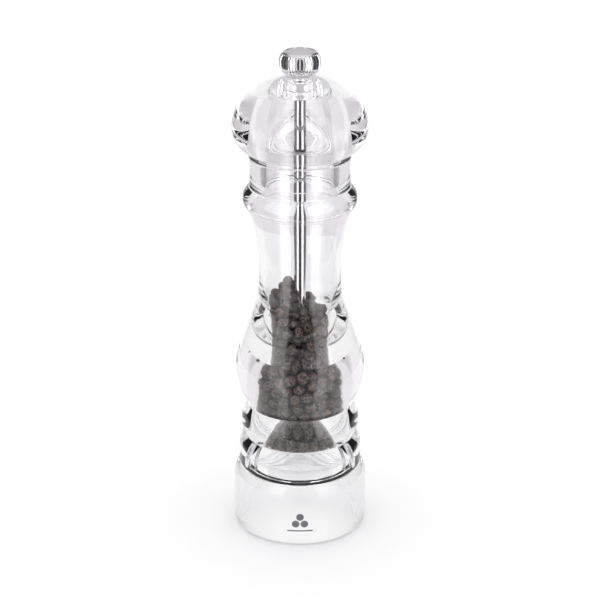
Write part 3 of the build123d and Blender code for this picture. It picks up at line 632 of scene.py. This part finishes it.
# ------------------------------------------------------------------ peppercorns
PEPPERCORNS = 890
SMALLEST_GRAIN = 2.1          # radii
LARGEST_GRAIN = 2.6
HEAP_FOOT = 101.0             # height of the heap at the wall
HEAP_RISE = 20.0              # how much higher it stands in the middle
HEAP_ASIDE = -3.5             # its peak leans to the left of the shaft
HEAP_DIP = 26.0               # hollow in the front of the heap, where the shaft shows
HEAP_DIP_WIDTH = 11.0
OPEN_GAP = 1.3                # from a neighbour, from which on a point of a grain lies open and free of painted shade
GRAIN_GAP = 0.25              # from the walls, because the grains aren't quite round
SETTLE_STEPS = 320
FALL = 0.5                    # how far a step lowers a grain, at first
PUSHES = 6                    # times in a step that overlapping grains are parted
PUSH = 0.4                    # share of the overlap that each of a pair gives way
REACH = 3 * LARGEST_GRAIN     # within which grains count as neighbours
LOWEST_DROP = 3.0
HIGHEST_DROP = 140.0
BURR_RISE = 0.7               # room for the inner burr to come up at its finest
GRAIN_SEED = 22
GRAIN_SHAPES = 24
GRAIN_WAVES = 5               # waves that shape a grain
WAVE_NUMBER = 2.6             # spread of their wave numbers, in radians for each radius of the grain
GRAIN_MEAN = 0.97             # mean radius of a shape, and how far a wave moves it
GRAIN_SWELL = 0.11


def bore_at(height):
    """Radius of the chamber at a height, read off the bores' outline."""
    inner = bores[bores[:, 1] >= Z_HOUSING_TOP + INLET_LIP]
    inner = inner[np.argsort(inner[:, 1])]
    return np.interp(height, inner[:, 1], inner[:, 0])


def settle(random):
    """Drops round grains into the chamber: each step lowers all, then parts the pairs that overlap
    by a share of their overlap each and clears the shaft, the wall and the floor.  In the end, the
    grains above the heap are taken away: its top is a cone with a hollow in front of the shaft."""
    size = random.uniform(SMALLEST_GRAIN, LARGEST_GRAIN, PEPPERCORNS)
    floor = Z_BURR_TOP + BURR_RISE
    angle = random.uniform(0, TURN, PEPPERCORNS)
    out = random.uniform(SHAFT_RADIUS + LARGEST_GRAIN, WAIST_BORE - LARGEST_GRAIN, PEPPERCORNS)
    height = floor + np.sort(random.uniform(LOWEST_DROP, HIGHEST_DROP, PEPPERCORNS))
    place = np.column_stack([out * np.cos(angle), out * np.sin(angle), height])
    for step in range(SETTLE_STEPS):
        if step % 4 == 0:
            near = np.abs(place[:, None, 2] - place[None, :, 2]) < REACH
            first, second = np.nonzero(np.triu(near, 1))
            close = np.linalg.norm(place[first] - place[second], axis=1) < REACH
            first, second = first[close], second[close]
        place[:, 2] -= FALL * (1 - step / SETTLE_STEPS)
        for _ in range(PUSHES):
            apart = place[first] - place[second]
            distance = np.linalg.norm(apart, axis=1) + 1e-6
            overlap = np.clip(size[first] + size[second] - distance, 0, None)
            push = apart * (overlap / distance * PUSH)[:, None]
            for axis in range(3):
                place[:, axis] += np.bincount(first, push[:, axis], PEPPERCORNS)
                place[:, axis] -= np.bincount(second, push[:, axis], PEPPERCORNS)
            reach = np.hypot(place[:, 0], place[:, 1]) + 1e-6
            wall = bore_at(place[:, 2]) - size - GRAIN_GAP
            kept = np.clip(reach, SHAFT_RADIUS + size + GRAIN_GAP, wall)
            place[:, :2] *= (kept / reach)[:, None]
            place[:, 2] = np.maximum(place[:, 2], floor + size)
    reach = np.hypot(place[:, 0] - HEAP_ASIDE, place[:, 1]) / THROAT_BORE
    dip = np.clip(-place[:, 1] / THROAT_BORE, 0, 1) * np.clip(1 - np.abs(place[:, 0]) / HEAP_DIP_WIDTH, 0, 1)
    kept = place[:, 2] < HEAP_FOOT + HEAP_RISE * (1 - reach) - HEAP_DIP * dip
    return place[kept], size[kept]


def wrinkled_ball(random):
    """Shapes of a 42-point ball: each point of radius 1 is moved to mean + swell * w, where w is the mean
    of sines of the point's place along a few random directions."""
    ball = bmesh.new()
    bmesh.ops.create_icosphere(ball, subdivisions=2, radius=1.0)
    points = np.array([v.co[:] for v in ball.verts])
    faces = np.array([[v.index for v in f.verts] for f in ball.faces])
    ball.free()
    waves = random.normal(0, 1, (GRAIN_SHAPES, GRAIN_WAVES, 3)) * WAVE_NUMBER
    phase = random.uniform(0, TURN, (GRAIN_SHAPES, GRAIN_WAVES, 1))
    wave = np.sin(np.einsum("swk,pk->swp", waves, points) + phase).mean(axis=1)
    return points[None] * (GRAIN_MEAN + GRAIN_SWELL * wave[:, :, None]), faces


def openness(points, place, size):
    """How open each point of each grain lies, for the painted shade in the crevices: its distance to the
    nearest neighbour's surface as a share of OPEN_GAP, between 0 in a crevice and 1 in the open."""
    distance = np.linalg.norm(place[:, None] - place[None], axis=2)
    first, second = np.nonzero((distance < 2 * LARGEST_GRAIN + OPEN_GAP) & (distance > 0))
    gap = np.linalg.norm(points[first] - place[second][:, None], axis=2) - size[second][:, None]
    nearest = np.full(points.shape[:2], OPEN_GAP)
    np.minimum.at(nearest, first, gap)
    return np.clip(nearest / OPEN_GAP, 0, 1)


def make_peppercorns():
    """All the grains as one mesh: every grain is one of the wrinkled shapes, turned and sized."""
    random = np.random.default_rng(GRAIN_SEED)
    place, size = settle(random)
    grains = len(size)
    shapes, faces = wrinkled_ball(random)
    kind = random.integers(0, GRAIN_SHAPES, grains)
    frames, _ = np.linalg.qr(random.normal(0, 1, (grains, 3, 3)))
    frames *= np.sign(np.linalg.det(frames))[:, None, None]
    points = np.einsum("gpk,gkl->gpl", shapes[kind], frames) * size[:, None, None] + place[:, None, :]
    count = points.shape[1]
    all_faces = (faces[None] + np.arange(grains)[:, None, None] * count).reshape(-1, 3)
    piece = new_object("peppercorns", points.reshape(-1, 3), all_faces.tolist(), 180.0)
    tone = np.repeat(random.beta(1.6, 2.2, grains), count)
    mark_points(piece, "grain", tone)
    # the "open" marks carry the painted shade in the crevices between grains
    mark_points(piece, "open", openness(points, place, size).reshape(-1))
    return piece


peppercorns = make_peppercorns()
finish_piece(peppercorns, peppercorn_skin, "body", "peppercorns", "peppercorn_fill")

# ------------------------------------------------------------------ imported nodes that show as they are
for node in ("ring_housing", "bridge_bar", "bridge_screws", "drive_screws", "burr_pin"):
    wear(node, bright_steel)
wear("drive_plate", brushed_steel)
for node in ("grind_ring", "male_burr"):
    wear(node, burr_steel)
for node in ("bridge_bush", "thrust_washer", "knob_insert"):
    wear(node, brass)
for node in ("drive_bush", "knob_washer"):
    wear(node, white_nylon)
wear("shaft", shaft_steel)
wear("knob_disc", knob_chrome)
wear("front_mark", mark_ink)


# ------------------------------------------------------------------ floor, light and camera
FLOOR_HALF = 6000.0
FLOOR_LEVEL = -0.05           # just under the mill's foot
MAT_RADIUS = 300.0
MAT_BACK = 180.0              # how far the mat's middle lies behind the mill, and to its side
MAT_ASIDE = -30.0
EVEN_LIGHT = 1.22             # strength of the studio's white where nothing shines or bends it
STUDIO_TINT = (0.93, 0.908, 0.93, 1.0)
WHITE = (1.0, 1.0, 1.0, 1.0)
# Camera, in metres, millimetres of lens and degrees.
CAMERA_BACK = 0.8306
CAMERA_HEIGHT = 0.4376
CAMERA_LENS = 121.1
CAMERA_SHIFT = -0.0027
CAMERA_LOOKS_DOWN = 21.67


def make_floor_material():
    """Pale matte paper with a faint mottle."""
    material, tree, shader, place = new_material("pale_floor")
    tone = spread(tree, noise(tree, place, 3.0), 0.0, 1.0)
    colour = blend_colours(tree, tone, (0.90, 0.90, 0.90), (0.88, 0.88, 0.885))
    tree.links.new(colour, shader.inputs["Base Color"])
    shader.inputs["Roughness"].default_value = 0.9
    return material


def make_light_paper():
    """Paper that glows white, with a faint mottle."""
    material, tree, shader, place = new_material("light_paper")
    shader.inputs["Base Color"].default_value = (0.1, 0.1, 0.1, 1.0)
    shader.inputs["Roughness"].default_value = 0.9
    shader.inputs["Emission Color"].default_value = WHITE
    tree.links.new(spread(tree, noise(tree, place, 30.0), 0.80, 0.84), shader.inputs["Emission Strength"])
    return material


def make_floor():
    """Wide pale floor that only the camera and diffuse light meet, and a round mat of glowing paper
    that takes its place for refracted and mirrored light."""
    corners = np.array([(-1, -1, 0), (1, -1, 0), (1, 1, 0), (-1, 1, 0)]) * FLOOR_HALF
    corners = corners + np.array([0, 0, FLOOR_LEVEL])
    floor = new_object("floor", corners, [[0, 1, 2, 3]])
    floor.visible_glossy = False
    floor.visible_transmission = False
    angle = np.arange(SIDES) * TURN / SIDES
    edge = np.column_stack([MAT_ASIDE + MAT_RADIUS * np.cos(angle), MAT_BACK + MAT_RADIUS * np.sin(angle),
                            np.full(SIDES, 2 * FLOOR_LEVEL)])
    mat = new_object("floor_mat", edge, [list(range(SIDES))])
    mat.visible_camera = False
    mat.visible_diffuse = False
    for piece, material in ((floor, make_floor_material()), (mat, make_light_paper())):
        piece.data.materials.append(material)


def window(tree, value, low, high, soft):
    """1 where value lies between low and high, falling to 0 over soft on either side."""
    rise = spread(tree, value, 0.0, 1.0, low - soft, low)
    fall = spread(tree, value, 1.0, 0.0, high, high + soft)
    return math_node(tree, "MULTIPLY", rise, fall)


def shade(tree, level, amount, *areas):
    """The level multiplied by 1 - amount * area for each area."""
    for area in areas:
        keep = math_node(tree, "SUBTRACT", 1.0, math_node(tree, "MULTIPLY", area, amount))
        level = math_node(tree, "MULTIPLY", level, keep)
    return level


def make_studio():
    """Even white light all round.  What is seen through the mill has dark cards at both sides and a
    brighter ceiling; what its surfaces mirror has dark cards in front, at the sides and high behind,
    and two tall light panels."""
    world = bpy.data.worlds.new("studio")
    world.use_nodes = True
    tree = world.node_tree
    tree.nodes.clear()
    direction = tree.nodes.new("ShaderNodeTexCoord").outputs["Generated"]
    axes = tree.nodes.new("ShaderNodeSeparateXYZ")
    tree.links.new(direction, axes.inputs[0])
    x, y, z = axes.outputs
    around = math_node(tree, "ARCTAN2", x, math_node(tree, "MULTIPLY", y, -1.0))
    degrees = math_node(tree, "MULTIPLY", around, 180.0 / math.pi)
    rise = math_node(tree, "MULTIPLY", math_node(tree, "ARCSINE", z), 180.0 / math.pi)
    low = window(tree, rise, -90.0, 40.0, 15.0)
    back_high = math_node(tree, "MULTIPLY", window(tree, rise, 12.0, 50.0, 8.0),
                          math_node(tree, "SUBTRACT", 1.0, window(tree, degrees, -140.0, 140.0, 10.0)))

    def sector(left, right, soft, height=low):
        """1 between two directions round the mill, in degrees from the front, and within a height."""
        return math_node(tree, "MULTIPLY", window(tree, degrees, left, right, soft), height)

    path = tree.nodes.new("ShaderNodeLightPath").outputs
    shone = math_node(tree, "GREATER_THAN", path["Glossy Depth"], 0.5)
    once = math_node(tree, "LESS_THAN", path["Glossy Depth"], 1.5)
    in_wall = math_node(tree, "COMPARE", path["Transmission Depth"], 2.0)
    clear_of_wall = math_node(tree, "SUBTRACT", 1.0, math_node(tree, "MULTIPLY", in_wall, 0.85))

    overhead = spread(tree, rise, 0.89, 1.9, 30.0, 65.0)
    standing = window(tree, rise, -12.0, 40.0, 12.0)
    through = shade(tree, overhead, 0.72, sector(84.0, 106.0, 5.0, standing))
    through = shade(tree, through, 0.72, sector(-106.0, -84.0, 5.0, standing))
    through = shade(tree, through, 0.3, sector(118.0, 146.0, 8.0, standing))
    through = shade(tree, through, 0.2, sector(-146.0, -124.0, 8.0, standing), back_high)
    panel_height = window(tree, rise, -45.0, 50.0, 5.0)
    left_panel = sector(-54.0, -30.0, 2.0, panel_height)
    right_panel = sector(33.0, 62.0, 2.0, panel_height)
    panels = math_node(tree, "ADD", left_panel, right_panel)
    on_metal = math_node(tree, "MULTIPLY", once, clear_of_wall)
    sides = math_node(tree, "ADD", sector(74.0, 150.0, 5.0), sector(-150.0, -66.0, 5.0))
    shine = shade(tree, 1.0, 0.95, math_node(tree, "MULTIPLY", sector(-24.0, 27.0, 4.0), on_metal))
    shine = shade(tree, shine, 0.8, math_node(tree, "MULTIPLY", sides, on_metal))
    shine = shade(tree, shine, 0.3, back_high)
    shine = math_node(tree, "ADD", shine, math_node(tree, "MULTIPLY", panels, 1.8))

    level = math_node(tree, "ADD", math_node(tree, "MULTIPLY", shone, shine),
                      math_node(tree, "MULTIPLY", math_node(tree, "SUBTRACT", 1.0, shone), through))
    plain = math_node(tree, "MAXIMUM", path["Is Camera Ray"], path["Is Diffuse Ray"])
    studio = tree.nodes.new("ShaderNodeBackground")
    tree.links.new(level, studio.inputs["Strength"])
    even = tree.nodes.new("ShaderNodeBackground")
    even.inputs["Strength"].default_value = EVEN_LIGHT
    studio.inputs["Color"].default_value = STUDIO_TINT
    even.inputs["Color"].default_value = WHITE
    choice = tree.nodes.new("ShaderNodeMixShader")
    tree.links.new(plain, choice.inputs[0])
    tree.links.new(studio.outputs[0], choice.inputs[1])
    tree.links.new(even.outputs[0], choice.inputs[2])
    output = tree.nodes.new("ShaderNodeOutputWorld")
    tree.links.new(choice.outputs[0], output.inputs["Surface"])
    bpy.context.scene.world = world


def make_camera():
    """Camera in front of the mill, a little above it, looking down along +Y."""
    camera = bpy.data.cameras.new("camera")
    camera.sensor_width = 36.0
    camera.lens = CAMERA_LENS
    camera.shift_y = CAMERA_SHIFT
    holder = bpy.data.objects.new("camera", camera)
    holder.location = (0.0, -CAMERA_BACK, CAMERA_HEIGHT)
    holder.rotation_euler = (math.radians(90.0 - CAMERA_LOOKS_DOWN), 0.0, 0.0)
    bpy.context.scene.collection.objects.link(holder)
    bpy.context.scene.camera = holder


def set_paths():
    """Enough bounces for light to pass through every wall of the mill."""
    scene = bpy.context.scene
    scene.view_settings.view_transform = "Standard"
    scene.cycles.max_bounces = 24
    scene.cycles.transmission_bounces = 24
    scene.cycles.glossy_bounces = 8
    scene.cycles.diffuse_bounces = 3
    scene.cycles.sample_clamp_indirect = 20.0
    scene.cycles.blur_glossy = 0.2


make_floor()
make_studio()
make_camera()
set_paths()
